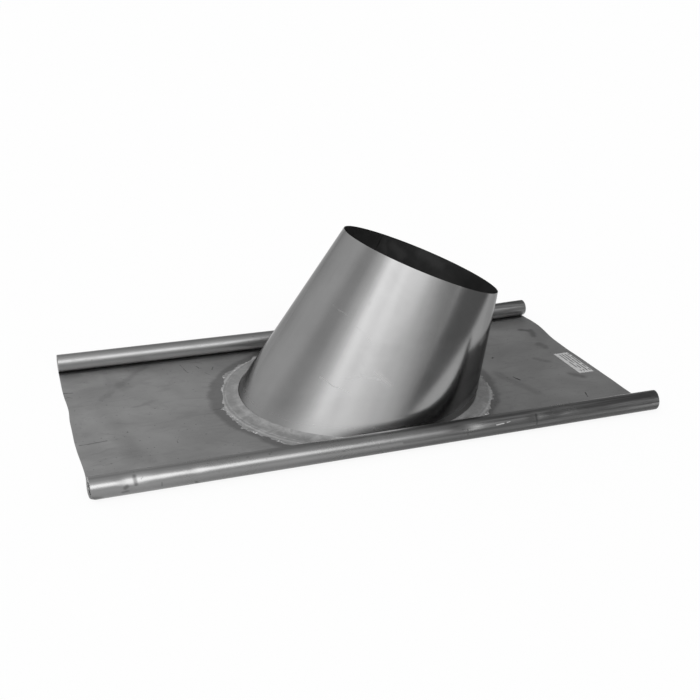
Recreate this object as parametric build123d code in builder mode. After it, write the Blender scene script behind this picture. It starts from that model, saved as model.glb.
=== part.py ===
from build123d import *
import os
from math import cos, pi, radians, sin, sqrt, tan

# Roof flashing: a leaning stainless cone soldered to a lead apron whose long sides are rolled up.
# +X runs along the rolls, towards the ridge of the roof. The apron's underside is at Z = 0.

# Cone of sheet steel
mouth_diameter = 300.0
mouth_height = 262.0  # along the cone's axis, from the underside of the apron
cone_angle = radians(12.0)  # between the axis and the wall
roof_pitch = radians(22.0)  # lean of the axis, so that it stands upright on a roof of this pitch
axis_foot_x = 35.0  # where the axis meets the underside of the apron
steel_thickness = 0.8
flange_width = 20.0  # turned out flat on the lead, under the solder
bend_radius = 2.0

# Lapped seam up the back of the cone
seam_azimuth = radians(95.0)  # about the axis, from the +X side towards +Y
lap_width = 14.0
joggle_width = 24.0

# Lead apron
apron_length = 1000.0
lead_thickness = 1.8
hole_setback = 1.0  # of the hole's edge behind the start of the flat flange

# Rolled-up sides
roll_diameter = 35.4
turn_gap = 0.7
half_turns = 6
roll_offset = 12.0  # from the flange's edge out to the roll's axis

# Knocks on the front roll, as places along it
dent_places = (-448.0, -432.0, -394.0, -340.0, 116.0, 247.0)
dent_depth = 0.7
dent_radius = 14.0
dent_lean = radians(48.0)  # from the top of the roll, forwards

# Hand-cut ends of the apron, as pairs: share of the half width, cut-back in millimetres
left_cut = (
    (-1.0, 8.0),
    (-0.86, 0.5),
    (-0.65, 3.5),
    (-0.24, 0.0),
    (0.06, 1.2),
    (0.28, 4.0),
    (0.55, 2.0),
    (1.0, 4.0),
)
right_cut = (
    (-1.0, 2.0),
    (-0.9, 0.0),
    (-0.66, 3.5),
    (-0.28, 1.5),
    (0.1, 3.5),
    (0.4, 3.0),
    (0.68, 0.5),
    (1.0, 2.5),
)

# Solder round the cone's foot
solder_cover = 0.6  # over the flange
solder_climb = 5.0  # up the cone's wall
solder_toe = 6.0  # out over the flange from the foot of the wall
fringe_width = 10.5  # past the flange, out on the lead
fringe_thickness = 0.7
fringe_points = 120
fringe_waves = ((3, 0.4, 0.8), (7, 2.1, 0.6), (13, 0.9, 0.7), (23, 3.3, 0.6), (41, 5.1, 0.5))

# Blank label
label_width = 32.0
label_length = 96.0
label_thickness = 0.2
label_corner = 1.5
label_edge_gap = 13.0
label_centre_y = -18.0

# Values that follow from the sizes above
mouth_radius = mouth_diameter / 2
apex_distance = mouth_height + mouth_radius / tan(cone_angle)
wall_depth = steel_thickness / cos(cone_angle)  # the wall measured square to the axis
flange_top = lead_thickness + steel_thickness
solder_top = flange_top + solder_cover
axis_direction = (sin(roof_pitch), 0, cos(roof_pitch))
across_axis = (cos(roof_pitch), 0, -sin(roof_pitch))
cone_axis = Axis((axis_foot_x, 0, 0), axis_direction)


def level_section(height, inset=0.0):
    """Centre and half axes of the ellipse in which a level plane cuts the cone's wall.

    The wall is the outer one, or one that lies inset inside it.
    """
    apex = cone_axis.position + cone_axis.direction * (apex_distance - inset / sin(cone_angle))
    drop = apex.Z - height
    left = apex.X - drop * tan(roof_pitch + cone_angle)
    right = apex.X - drop * tan(roof_pitch - cone_angle)
    half_length = (right - left) / 2
    return (left + right) / 2, half_length, half_length * sqrt(1 - (sin(roof_pitch) / cos(cone_angle)) ** 2)


foot_x, foot_half_length, foot_half_width = level_section(flange_top)
flange_half_length = foot_half_length + flange_width
flange_half_width = foot_half_width + flange_width
roll_y = flange_half_width + roll_offset
half_width = roll_y + roll_diameter / 2
axis_reach = flange_half_length * sin(roof_pitch) * 1.2  # clears the apron's underside all round


def level_ellipse(height, margin=0.0, inset=0.0):
    """The cone's level section as a sketch, grown by a margin all round."""
    centre_x, x_radius, y_radius = level_section(height, inset)
    with BuildSketch(Plane.XY.offset(height)) as section:
        with Locations((centre_x, 0)):
            Ellipse(x_radius + margin, y_radius + margin)
    return section.sketch


def frustum_profile(inset=0.0):
    """Half profile of a solid cone whose surface lies inset inside the outer wall."""
    top_radius = mouth_radius - inset / cos(cone_angle)
    bottom_radius = top_radius + (mouth_height + axis_reach) * tan(cone_angle)
    with BuildSketch(Plane(cone_axis.position, x_dir=across_axis, z_dir=(0, -1, 0))) as profile:
        with BuildLine():
            Polyline(
                (0, -axis_reach),
                (bottom_radius, -axis_reach),
                (top_radius, mouth_height),
                (0, mouth_height),
                close=True,
            )
        make_face()
    return profile.sketch


def cone_form(inset, base_level, base_margin, bend):
    """A solid cone rising from a broad base with a rounded corner, as one face of the sheet has it."""
    with BuildPart() as form:
        revolve(frustum_profile(inset), axis=cone_axis)
        with BuildSketch(Plane.XY.offset(base_level)):
            with Locations((foot_x, 0)):
                Ellipse(flange_half_length + base_margin, flange_half_width + base_margin)
        extrude(amount=-axis_reach)
        corner = edges().filter_by_position(Axis.Z, base_level, base_level).sort_by(SortBy.LENGTH)[0]
        fillet(corner, bend)
    return form.part


def seam_section(distance, corners):
    """Outline square to the cone's axis, through corners on the wall.

    Each corner is an offset from the outer wall and a width round it from the seam's edge.
    """
    wall_radius = mouth_radius + (mouth_height - distance) * tan(cone_angle)
    polar = [(wall_radius + offset, seam_azimuth - width / wall_radius) for offset, width in corners]
    section_plane = Plane(
        cone_axis.position + cone_axis.direction * distance, x_dir=across_axis, z_dir=axis_direction
    )
    with BuildSketch(section_plane) as section:
        with BuildLine():
            for (radius_a, angle_a), (radius_b, angle_b) in zip(polar, polar[1:] + polar[:1]):
                middle_radius = (radius_a + radius_b) / 2
                middle_angle = (angle_a + angle_b) / 2
                start = (radius_a * cos(angle_a), radius_a * sin(angle_a))
                middle = (middle_radius * cos(middle_angle), middle_radius * sin(middle_angle))
                end = (radius_b * cos(angle_b), radius_b * sin(angle_b))
                if angle_a == angle_b:
                    Line(start, end)
                else:
                    ThreePointArc(start, middle, end)
        make_face()
    return section.sketch


def seam_loft(corners, lowest):
    """A strip of the seam from a level above the foot to the mouth."""
    with BuildPart() as strip:
        loft([seam_section(-axis_reach, corners), seam_section(mouth_height, corners)], ruled=True)
        split(bisect_by=Plane.XY.offset(lowest), keep=Keep.TOP)
    return strip.part


# Inner layer of the lap, which slopes back out into the wall, and the step that it leaves outside
lap_corners = [
    (-2 * wall_depth, 0),
    (-2 * wall_depth, lap_width),
    (-wall_depth / 2, lap_width + joggle_width),
    (-wall_depth / 2, 0),
]
step_corners = [
    (-wall_depth, lap_width),
    (wall_depth / 2, lap_width + joggle_width),
    (wall_depth / 2, lap_width),
]
lap_layer = seam_loft(lap_corners, flange_top + bend_radius)
lap_step = seam_loft(step_corners, solder_top + solder_climb)

# Stainless cone, one sheet with its foot turned out in a flange
outer_form = cone_form(0, flange_top, 0, bend_radius)
inner_form = cone_form(steel_thickness, lead_thickness, flange_width, bend_radius + steel_thickness)
with BuildPart() as cone:
    add(outer_form)
    add(inner_form, mode=Mode.SUBTRACT)
    split(bisect_by=Plane.XY.offset(lead_thickness), keep=Keep.TOP)
    add(lap_layer)
    add(lap_step, mode=Mode.SUBTRACT)
cone.part.label = "cone"

# Lead apron, one sheet: flat in the middle, then rolled up and inwards turn on turn
turn_pitch = lead_thickness + turn_gap
with BuildPart() as lead_apron:
    with BuildSketch(Plane.YZ):
        with BuildLine():
            Line((0, lead_thickness), (0, 0))
            Line((0, 0), (roll_y, 0))
            for turn in range(half_turns):
                radius = (roll_diameter - turn * turn_pitch) / 2
                centre = (roll_y, (turn + 1) // 2 * turn_pitch + radius)
                start_angle = -90 if turn % 2 == 0 else 90
                outer_face = CenterArc(centre, radius, start_angle, 180)
                inner_face = CenterArc(centre, radius - lead_thickness, start_angle, 180)
            Line(outer_face @ 1, inner_face @ 1)
            Line((roll_y, lead_thickness), (0, lead_thickness))
        make_face()
        mirror(about=Plane.YZ)
    extrude(amount=apron_length / 2, both=True)
    with BuildSketch():
        with BuildLine():
            left_end = [(cut - apron_length / 2, share * half_width) for share, cut in left_cut]
            right_end = [(apron_length / 2 - cut, share * half_width) for share, cut in right_cut]
            Polyline(*left_end, *reversed(right_end), close=True)
        make_face()
    extrude(amount=roll_diameter, mode=Mode.INTERSECT)
    with BuildSketch():
        with Locations((foot_x, 0)):
            hole_margin = bend_radius + hole_setback
            Ellipse(foot_half_length + hole_margin, foot_half_width + hole_margin)
    extrude(amount=lead_thickness, mode=Mode.SUBTRACT)
    dent_reach = roll_diameter / 2 + dent_radius - dent_depth
    dent_y = -roll_y - dent_reach * sin(dent_lean)
    dent_z = roll_diameter / 2 + dent_reach * cos(dent_lean)
    with Locations(*[(dent_x, dent_y, dent_z) for dent_x in dent_places]):
        Sphere(dent_radius, mode=Mode.SUBTRACT)
lead_apron.part.label = "lead_apron"


def fringe_reach(angle):
    """How far the solder ran out on the lead at an angle round the flange, less beside the rolls."""
    ragged = sum(size * sin(count * angle + phase) for count, phase, size in fringe_waves)
    return fringe_width * (1 - 0.5 * sin(angle) ** 8) + ragged


# Solder over the flange, with a ragged fringe on the lead and a fillet up the wall
with BuildPart() as solder_seam:
    with BuildSketch(Plane.XY.offset(lead_thickness)):
        with BuildLine():
            fringe = []
            for step in range(fringe_points):
                angle = 2 * pi * step / fringe_points
                reach = fringe_reach(angle)
                x = foot_x + (flange_half_length + reach) * cos(angle)
                y = (flange_half_width + reach) * sin(angle)
                fringe.append((x, y))
            Spline(*fringe, periodic=True)
        make_face()
    extrude(amount=fringe_thickness)
    with BuildSketch(Plane.XY.offset(lead_thickness)):
        with Locations((foot_x, 0)):
            Ellipse(flange_half_length + solder_cover, flange_half_width + solder_cover)
    extrude(amount=steel_thickness + solder_cover)
    loft([level_ellipse(solder_top, margin=solder_toe), level_ellipse(solder_top + solder_climb)], ruled=True)
    add(outer_form, mode=Mode.SUBTRACT)
solder_seam.part.label = "solder_seam"

# Label stuck beside the upper end
with BuildPart() as label:
    with BuildSketch(Plane.XY.offset(lead_thickness)):
        with Locations((apron_length / 2 - label_edge_gap - label_width / 2, label_centre_y)):
            RectangleRounded(label_width, label_length, label_corner)
    extrude(amount=label_thickness)
label.part.label = "label"

# Written pieces
os.makedirs("parts", exist_ok=True)
export_step(cone.part, "parts/cone.step")
export_step(lead_apron.part, "parts/lead_apron.step")
export_step(solder_seam.part, "parts/solder_seam.step")
export_step(label.part, "parts/label.step")
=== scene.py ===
import logging
from dataclasses import dataclass, field
from enum import Enum
from math import atan2, cos, degrees, exp, hypot, pi, radians, sin, tan
from typing import Callable

import bpy
from mathutils import Matrix, Vector, noise


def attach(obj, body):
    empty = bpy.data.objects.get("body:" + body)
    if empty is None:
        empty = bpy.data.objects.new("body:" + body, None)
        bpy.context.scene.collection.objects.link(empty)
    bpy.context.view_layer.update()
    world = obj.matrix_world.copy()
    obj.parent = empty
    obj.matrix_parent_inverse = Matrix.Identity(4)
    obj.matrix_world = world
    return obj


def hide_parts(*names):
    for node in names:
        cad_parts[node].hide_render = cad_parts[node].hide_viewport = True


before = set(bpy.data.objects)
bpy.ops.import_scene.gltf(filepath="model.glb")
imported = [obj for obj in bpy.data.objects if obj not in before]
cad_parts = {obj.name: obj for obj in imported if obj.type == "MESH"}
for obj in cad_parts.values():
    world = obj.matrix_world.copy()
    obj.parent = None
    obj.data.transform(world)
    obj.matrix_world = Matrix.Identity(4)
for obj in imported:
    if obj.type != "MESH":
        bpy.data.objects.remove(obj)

log = logging.getLogger("roof_flashing")
Socket = bpy.types.NodeSocket
Point = tuple[float, float, float]
Band = tuple[float, float]
Levels = tuple[Band, ...]
Place = tuple[float, float]
Marks = tuple[tuple[Point, Point, float, float], ...]
MM = 0.001
LEAD_THICKNESS = 1.8 * MM
TINY = 1e-6
CURVE_STOPS = 6


class Coordinates(Enum):
    """Where a pattern gets its place from."""

    OBJECT = "Object"
    SHEET = "UV"
    WORLD = "Generated"


class Side(Enum):
    """A long side of the apron, by the sign of its Y."""

    FRONT = -1
    BACK = 1


# Helpers


def smooth_step(low: float, high: float, value: float) -> float:
    """A soft ramp from 0 at low to 1 at high.

    Args:
        low: The value at which the ramp starts.
        high: The value at which it ends.
        value: The value to place on the ramp.

    Returns:
        A share from 0 to 1.
    """
    share = min(1.0, max(0.0, (value - low) / (high - low)))
    return share * share * (3 - 2 * share)


def between(pairs: Levels, at: float) -> float:
    """Reads a smooth line through pairs of place and value.

    Args:
        pairs: Places in rising order, each with its value.
        at: The place to read.

    Returns:
        The value there, or that of the nearest end.
    """
    if at <= pairs[0][0]:
        return pairs[0][1]
    for (start, first), (end, second) in zip(pairs, pairs[1:]):
        if at <= end:
            return first + (second - first) * smooth_step(start, end, at)
    return pairs[-1][1]


class Bench:
    """Edit-mode work on one mesh object."""

    def __init__(self, name: str) -> None:
        """Takes the active object and names it.

        Args:
            name: The name of the piece.
        """
        self.piece: bpy.types.Object = bpy.context.object
        self.piece.name = name
        self.piece.data.name = name

    @staticmethod
    def clear() -> None:
        """Deselects every object."""
        bpy.ops.object.select_all(action="DESELECT")

    def pick(self, chosen: Callable[[Vector], bool]) -> None:
        """Selects the vertices whose place passes a test.

        Args:
            chosen: Says of a vertex's place whether it is wanted.
        """
        self.edit("VERT")
        bpy.ops.mesh.select_all(action="DESELECT")
        self.rest()
        for vertex in self.piece.data.vertices:
            vertex.select = chosen(vertex.co)
        self.edit("VERT")

    def edit(self, kind: str) -> None:
        """Goes to edit mode.

        Args:
            kind: VERT, EDGE or FACE, what a selection means.
        """
        if self.piece.mode != "EDIT":
            bpy.ops.object.mode_set(mode="EDIT")
        bpy.ops.mesh.select_mode(type=kind)

    def rest(self) -> None:
        """Goes back to object mode."""
        if self.piece.mode != "OBJECT":
            bpy.ops.object.mode_set(mode="OBJECT")

    def count(self) -> int:
        """The number of vertices, read in object mode."""
        self.rest()
        return len(self.piece.data.vertices)

    def place(self, moved: Callable[[int, Vector], Vector], first: int = 0) -> None:
        """Moves vertices one by one.

        Args:
            moved: Gives a vertex's new place from its index and its old one.
            first: The index of the first vertex that moves.
        """
        self.rest()
        for vertex in self.piece.data.vertices[first:]:
            vertex.co = moved(vertex.index, vertex.co)
        self.piece.data.update()

    def extrude(self) -> int:
        """Extrudes what is selected, in place.

        Returns:
            The index of the first new vertex.
        """
        first = self.count()
        self.edit("EDGE")
        bpy.ops.mesh.extrude_region_move()
        self.rest()
        return first

    def align(self, wanted: Callable[[Vector], Vector]) -> None:
        """Turns all faces the same way round, to the side that is wanted.

        Args:
            wanted: Gives the direction that the face at a place should have, roughly.
        """
        self.edit("FACE")
        bpy.ops.mesh.select_all(action="SELECT")
        bpy.ops.mesh.normals_make_consistent(inside=False)
        self.rest()
        if sum(face.normal.dot(wanted(face.center)) * face.area for face in self.piece.data.polygons) < 0:
            self.edit("FACE")
            bpy.ops.mesh.select_all(action="SELECT")
            bpy.ops.mesh.flip_normals()
            self.rest()

    def thicken(self, thickness: float, inner_slot: int = 0, rim_slot: int = 0) -> None:
        """Gives the sheet its thickness, behind its face.

        Args:
            thickness: The thickness in metres.
            inner_slot: How many material slots on the back of the sheet lies.
            rim_slot: How many material slots on its edges lie.
        """
        self.rest()
        wall = self.piece.modifiers.new("thickness", "SOLIDIFY")
        wall.thickness = thickness
        wall.offset = -1
        wall.use_even_offset = True
        wall.material_offset = inner_slot
        wall.material_offset_rim = rim_slot
        bpy.ops.object.modifier_apply(modifier=wall.name)

    def smooth(self, angle: float) -> None:
        """Shades faces smoothly where they meet at less than an angle.

        Args:
            angle: That angle in degrees.
        """
        self.rest()
        self.clear()
        self.piece.select_set(True)
        bpy.ops.object.shade_smooth_by_angle(angle=radians(angle))


class Tree:
    """Shader nodes that are added one by one."""

    def __init__(self, owner: bpy.types.Material | bpy.types.World, source: Coordinates) -> None:
        """Starts with the nodes that the owner has.

        Args:
            owner: The material or world to build.
            source: Where patterns get their place from.
        """
        owner.use_nodes = True
        self.nodes = owner.node_tree.nodes
        self.links = owner.node_tree.links
        self.places = self.nodes.new("ShaderNodeTexCoord").outputs[source.value]

    def link(self, start: Socket, end: Socket) -> None:
        """Joins an output to an input."""
        self.links.new(start, end)

    def mapped(self, scale: Point, location: Point = (0, 0, 0), turn: Point = (0, 0, 0)) -> Socket:
        """Places a pattern.

        Args:
            scale: How many units of pattern lie in a metre, along each axis.
            location: The shift of the pattern.
            turn: Its turn about each axis, in degrees.

        Returns:
            The mapped coordinates.
        """
        node = self.nodes.new("ShaderNodeMapping")
        node.inputs["Scale"].default_value = scale
        node.inputs["Location"].default_value = location
        node.inputs["Rotation"].default_value = [radians(angle) for angle in turn]
        self.link(self.places, node.inputs["Vector"])
        return node.outputs["Vector"]

    def noise(self, place: Socket, detail: float = 4, rough: float = 0.55, bend: float = 0) -> Socket:
        """A cloudy pattern from 0 to 1.

        Args:
            place: Its mapped coordinates.
            detail: The number of finer layers.
            rough: How strong those are.
            bend: How far it is distorted.

        Returns:
            Its strength.
        """
        node = self.nodes.new("ShaderNodeTexNoise")
        node.inputs["Scale"].default_value = 1
        node.inputs["Detail"].default_value = detail
        node.inputs["Roughness"].default_value = rough
        node.inputs["Distortion"].default_value = bend
        self.link(place, node.inputs["Vector"])
        return node.outputs["Fac"]

    def ramp(self, value: Socket, *stops: tuple[float, float]) -> Socket:
        """Turns a strength into another.

        Args:
            value: The strength to read.
            stops: Pairs of a strength and what it becomes. Many are joined by a curve, few by lines.

        Returns:
            The new strength, as a grey.
        """
        node = self.nodes.new("ShaderNodeValToRGB")
        node.color_ramp.interpolation = "CARDINAL" if len(stops) >= CURVE_STOPS else "LINEAR"
        marks = node.color_ramp.elements
        while len(marks) < len(stops):
            marks.new(0.5)
        for mark, (position, level) in zip(marks, stops):
            mark.position = position
            mark.color = (level, level, level, 1)
        self.link(value, node.inputs["Fac"])
        return node.outputs["Color"]

    def math(self, operation: str, first: object, second: object = 0.0) -> Socket:
        """Works out a number.

        Args:
            operation: The name of the sum, as Blender has it.
            first: A number or a socket.
            second: A number or a socket.

        Returns:
            The result.
        """
        node = self.nodes.new("ShaderNodeMath")
        node.operation = operation
        for given, socket in zip((first, second), node.inputs):
            if isinstance(given, (int, float)):
                socket.default_value = given
            else:
                self.link(given, socket)
        return node.outputs["Value"]

    def times(self, first: object, second: object) -> Socket:
        """The product of two numbers or sockets."""
        return self.math("MULTIPLY", first, second)

    def plus(self, first: object, second: object) -> Socket:
        """The sum of two numbers or sockets."""
        return self.math("ADD", first, second)

    def minus(self, first: object, second: object) -> Socket:
        """The difference of two numbers or sockets."""
        return self.math("SUBTRACT", first, second)

    def mix(self, share: Socket, first: object, second: object) -> Socket:
        """Blends two colours.

        Args:
            share: How much of the second there is.
            first: A grey level or a socket.
            second: A grey level or a socket.

        Returns:
            The blend.
        """
        node = self.nodes.new("ShaderNodeMix")
        node.data_type = "RGBA"
        self.link(share, node.inputs[0])
        for given, socket in ((first, node.inputs[6]), (second, node.inputs[7])):
            if isinstance(given, (int, float)):
                socket.default_value = (given, given, given, 1)
            else:
                self.link(given, socket)
        return node.outputs[2]

    def bump(
        self, height: Socket, distance: float, strength: float = 1.0, under: Socket | None = None
    ) -> Socket:
        """Roughens the surface without moving it.

        Args:
            height: The relief, from 0 to 1.
            distance: The height of 1, in metres.
            strength: How much of it is used.
            under: A relief that this one is added to.

        Returns:
            The bent normal.
        """
        node = self.nodes.new("ShaderNodeBump")
        node.inputs["Distance"].default_value = distance
        node.inputs["Strength"].default_value = strength
        self.link(height, node.inputs["Height"])
        if under is not None:
            self.link(under, node.inputs["Normal"])
        return node.outputs["Normal"]

    def parts(self, place: Socket) -> tuple[Socket, ...]:
        """The three numbers of a place."""
        node = self.nodes.new("ShaderNodeSeparateXYZ")
        self.link(place, node.inputs["Vector"])
        return tuple(node.outputs)

    def vector(self, operation: str, first: object, second: object) -> bpy.types.Node:
        """Works out a vector.

        Args:
            operation: The name of the sum, as Blender has it.
            first: A point or a socket.
            second: A point, a number for a scale, or a socket.

        Returns:
            The node, with its outputs Vector and Value.
        """
        node = self.nodes.new("ShaderNodeVectorMath")
        node.operation = operation
        ends = (node.inputs[0], node.inputs["Scale"] if operation == "SCALE" else node.inputs[1])
        for given, socket in zip((first, second), ends):
            if isinstance(given, Socket):
                self.link(given, socket)
            else:
                socket.default_value = given
        return node

    def strokes(self, place: Socket, marks: Marks) -> Socket:
        """Short straight marks at given places, each with soft edges.

        Args:
            place: Where the surface is.
            marks: Each mark's two ends, its half width and its strength.

        Returns:
            How strong the marks are, from 0 to 1.
        """
        total: object = 0.0
        for start, end, width, strength in marks:
            run = Vector(end) - Vector(start)
            away = self.vector("SUBTRACT", place, start).outputs["Vector"]
            share = self.vector("DOT_PRODUCT", away, tuple(run / run.length_squared)).outputs["Value"]
            share = self.math("MINIMUM", self.math("MAXIMUM", share, 0.0), 1.0)
            nearest = self.vector("SCALE", tuple(run), share).outputs["Vector"]
            gap = self.vector("DISTANCE", away, nearest).outputs["Value"]
            mark = self.times(self.span(gap, width, width * 0.15), strength)
            total = self.math("MAXIMUM", total, mark)
        return total

    def shaken(self, place: Socket, scale: float, reach: float) -> Socket:
        """A place that is moved about a little, so that marks aren't ruled lines.

        Args:
            place: The place to move.
            scale: How many swings there are in a metre.
            reach: How far they go, in metres.

        Returns:
            The moved place.
        """
        node = self.nodes.new("ShaderNodeTexNoise")
        node.inputs["Scale"].default_value = scale
        node.inputs["Detail"].default_value = 3
        self.link(place, node.inputs["Vector"])
        swing = self.vector("SUBTRACT", node.outputs["Color"], (0.5, 0.5, 0.5)).outputs["Vector"]
        moved = self.vector("SCALE", swing, reach * 2).outputs["Vector"]
        return self.vector("ADD", place, moved).outputs["Vector"]

    def past_foot(self, place: Socket) -> Socket:
        """How far outside the cone's foot a place lies, in metres."""
        foot = FootEllipse()
        x, y, _ = self.parts(place)
        along = self.math("DIVIDE", self.minus(x, foot.centre_x), foot.half_length)
        across = self.math("DIVIDE", y, foot.half_width)
        squares = self.plus(self.math("POWER", along, 2.0), self.math("POWER", across, 2.0))
        return self.times(self.minus(self.math("SQRT", squares), 1.0), foot.mean_radius)

    def span(self, value: Socket, low: float, high: float) -> Socket:
        """A soft step.

        Args:
            value: The number to read.
            low: Where the step is 0.
            high: Where it is 1.

        Returns:
            A share from 0 to 1.
        """
        node = self.nodes.new("ShaderNodeMapRange")
        node.interpolation_type = "SMOOTHSTEP"
        node.inputs["From Min"].default_value = low
        node.inputs["From Max"].default_value = high
        self.link(value, node.inputs["Value"])
        return node.outputs["Result"]


class Finish(Tree):
    """The nodes of one material, round a Principled shader."""

    def __init__(self, name: str, source: Coordinates = Coordinates.OBJECT) -> None:
        """Starts a material.

        Args:
            name: The name of the finish.
            source: Where its patterns get their place from.
        """
        self.material = bpy.data.materials.new(name)
        super().__init__(self.material, source)
        self.shader = self.nodes["Principled BSDF"]

    def finish(self, **sockets: object) -> bpy.types.Material:
        """Sets the shader's sockets.

        Args:
            sockets: Each by its name with _ for spaces, as a number, a colour or a socket.

        Returns:
            The finished material.
        """
        for name, given in sockets.items():
            socket = self.shader.inputs[name.replace("_", " ")]
            if isinstance(given, Socket):
                self.link(given, socket)
            elif isinstance(given, tuple):
                socket.default_value = (*given, 1)
            else:
                socket.default_value = given
        return self.material


# Finishes


@dataclass(frozen=True)
class BrightSteel:
    """Cold-rolled stainless sheet, glossy, with faint streaks along its length and a few scuffs."""

    name: str = "bright_steel"
    brightness: float = 0.3
    roughness: float = 0.15
    scuffed: float = 0.34
    foot_dull: float = 0.15
    foot_band: Band = (0.05, 0.006)
    scuffs: Marks = (
        ((-0.058, -0.066, 0.198), (-0.047, -0.094, 0.191), 0.0022, 0.5),
        ((-0.047, -0.094, 0.191), (-0.033, -0.121, 0.174), 0.0022, 0.55),
        ((-0.033, -0.121, 0.174), (-0.017, -0.145, 0.154), 0.0020, 0.4),
        ((-0.099, -0.120, 0.091), (-0.078, -0.146, 0.081), 0.0026, 0.5),
        ((-0.078, -0.146, 0.081), (-0.053, -0.166, 0.073), 0.0026, 0.45),
        ((-0.064, -0.148, 0.095), (-0.038, -0.159, 0.103), 0.0030, 0.5),
        ((-0.038, -0.159, 0.103), (-0.012, -0.172, 0.098), 0.0030, 0.6),
        ((-0.018, -0.165, 0.110), (0.004, -0.180, 0.090), 0.0090, 0.35),
    )

    def make(self) -> bpy.types.Material:
        """Builds the material."""
        tree = Finish(self.name, Coordinates.SHEET)
        solid = tree.nodes.new("ShaderNodeTexCoord").outputs["Object"]
        streaks = tree.noise(tree.mapped((3, 240, 1)), 3, 0.6)
        bands = tree.noise(tree.mapped((46, 1.2, 1), location=(3, 0, 0)), 3, 0.6, 0.3)
        clouds = tree.noise(tree.mapped((14, 5, 1)), 4, 0.6, 0.4)
        wipes = tree.noise(tree.mapped((60, 9, 1), turn=(0, 0, 14)), 5, 0.7, 1.2)
        wipes = tree.ramp(wipes, (0.6, 0.0), (0.72, 1.0))
        specks = tree.ramp(tree.noise(tree.mapped((700, 260, 1)), 1, 0.5), (0.77, 0.0), (0.8, 1.0))
        marks = tree.strokes(tree.shaken(solid, 45, 0.004), self.scuffs)
        cloudy = tree.ramp(clouds, (0.35, 0.0), (0.7, 1.0))
        shade = tree.mix(cloudy, self.brightness * 0.94, self.brightness * 1.04)
        shade = tree.mix(tree.ramp(bands, (0.3, 0.0), (0.7, 0.5)), shade, self.brightness * 1.08)
        shade = tree.mix(tree.times(wipes, 0.2), shade, self.brightness * 0.8)
        shade = tree.mix(tree.times(specks, 0.5), shade, self.brightness * 0.6)
        shade = tree.mix(tree.times(marks, 0.3), shade, self.brightness * 1.2)
        gloss = tree.plus(tree.times(clouds, 0.07), self.roughness - 0.03)
        gloss = tree.plus(gloss, tree.times(wipes, 0.05))
        gloss = tree.plus(gloss, tree.times(marks, self.scuffed))
        foot = tree.span(tree.parts(solid)[2], *self.foot_band)
        gloss = tree.plus(gloss, tree.times(foot, self.foot_dull))
        relief = tree.bump(streaks, 0.00003, 0.35)
        relief = tree.bump(bands, 0.0003, 0.3, relief)
        return tree.finish(
            Base_Color=shade, Metallic=1.0, Roughness=gloss, Normal=relief, Specular_Tint=(0.5, 0.5, 0.5)
        )


@dataclass(frozen=True)
class InsidePaintedShade:
    """The inner face of the cone, dull and near black with blotches: painted shade for the dark inside the
    mouth, with lighter patches of painted light and the painted shadow line of its lap.
    """

    name: str = "painted_shade_inside"
    # painted shadow: the dark line that the lap's edge casts on the inner face
    lap: Marks = (((0.121, 0.151, 0.250), (0.090, 0.158, 0.160), 0.0016, 1.0),)
    painted_light_patches: Marks = (
        ((0.147, 0.152, 0.221), (0.161, 0.149, 0.205), 0.014, 0.7),
        ((0.197, 0.133, 0.210), (0.226, 0.110, 0.186), 0.018, 0.8),
        ((0.128, 0.156, 0.235), (0.124, 0.157, 0.205), 0.010, 0.6),
    )

    def make(self) -> bpy.types.Material:
        """Builds the material."""
        tree = Finish(self.name, Coordinates.OBJECT)
        blotches = tree.noise(tree.mapped((22, 22, 22)), 5, 0.6, 0.8)
        # painted shade: a near-black grey with blotches stands for the dark inside the mouth
        shade = tree.ramp(blotches, (0.35, 0.018), (0.62, 0.026), (0.8, 0.036))
        # painted light: a few lighter patches on that painted shade
        shade = tree.mix(tree.strokes(tree.shaken(tree.places, 30, 0.012), self.painted_light_patches), shade, 0.042)
        # painted shadow line along the lap's edge
        shade = tree.mix(tree.strokes(tree.places, self.lap), shade, 0.004)
        gloss = tree.ramp(blotches, (0.3, 0.45), (0.8, 0.6))
        return tree.finish(Base_Color=shade, Metallic=0.0, Roughness=gloss, Specular_IOR_Level=0.12)


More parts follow.
